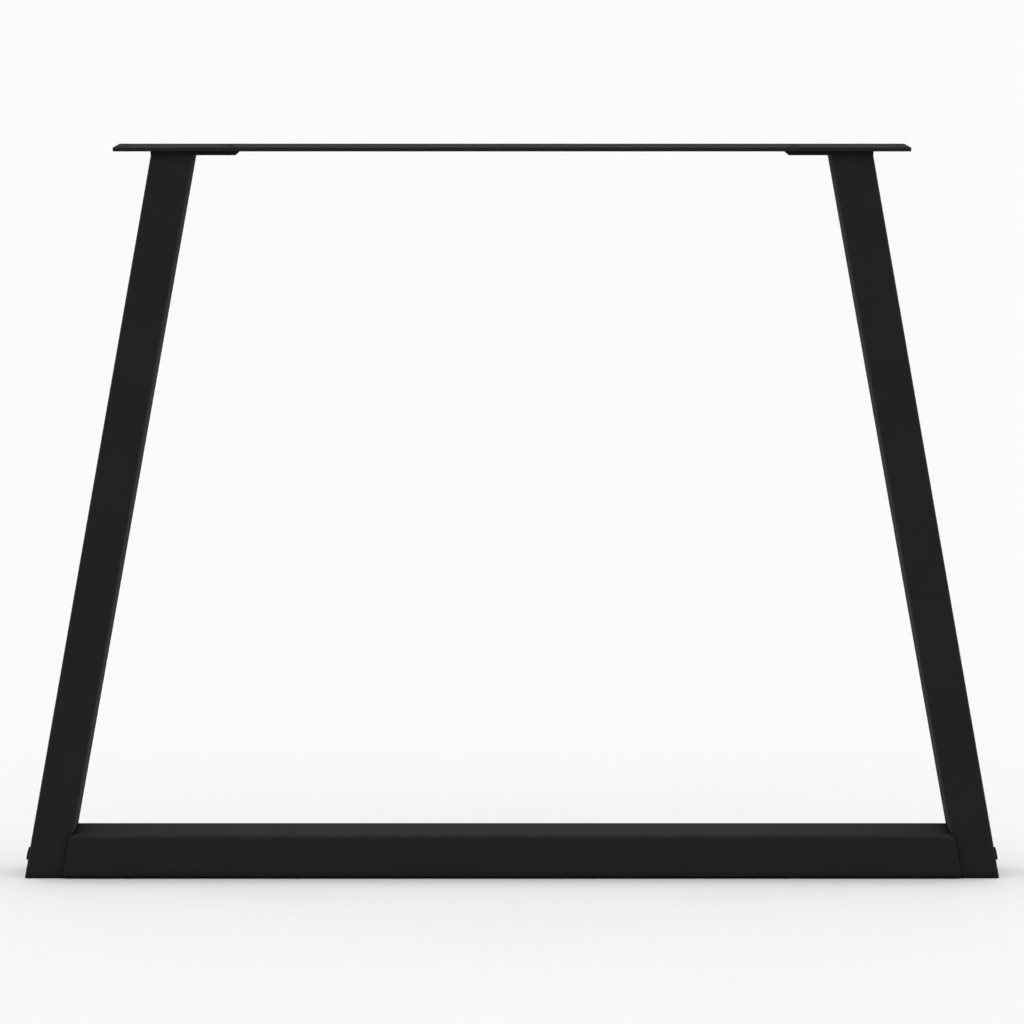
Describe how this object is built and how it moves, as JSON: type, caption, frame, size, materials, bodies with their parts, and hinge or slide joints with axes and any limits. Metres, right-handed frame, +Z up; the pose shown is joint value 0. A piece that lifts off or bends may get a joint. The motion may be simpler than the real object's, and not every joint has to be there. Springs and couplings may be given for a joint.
{
  "type": "table leg",
  "caption": "Trapezoid table leg frame of square steel tube: leaning uprights bolted to a foot bar, under a flat top plate with end holes for screws into a table top.",
  "frame": {"origin": "on the floor, below the middle of the foot bar", "axes": "+X along the foot bar, +Y across it towards the back, +Z up to the table top"},
  "size_m": [0.975, 0.05, 0.73],
  "materials": {
    "powder_coat": "fine matt black powder coat on steel",
    "black_fasteners": "satin black oxide on steel"
  },
  "bodies": {
    "root": {"top_plate": "powder_coat", "left_flange": "powder_coat", "right_flange": "powder_coat", "left_upright": "powder_coat", "right_upright": "powder_coat", "left_foot_cap": "powder_coat", "right_foot_cap": "powder_coat", "foot_bar": "powder_coat", "left_end_plate": "powder_coat", "right_end_plate": "powder_coat", "side_bolts": "black_fasteners", "plate_screws": "black_fasteners"}
  },
  "joints": []
}
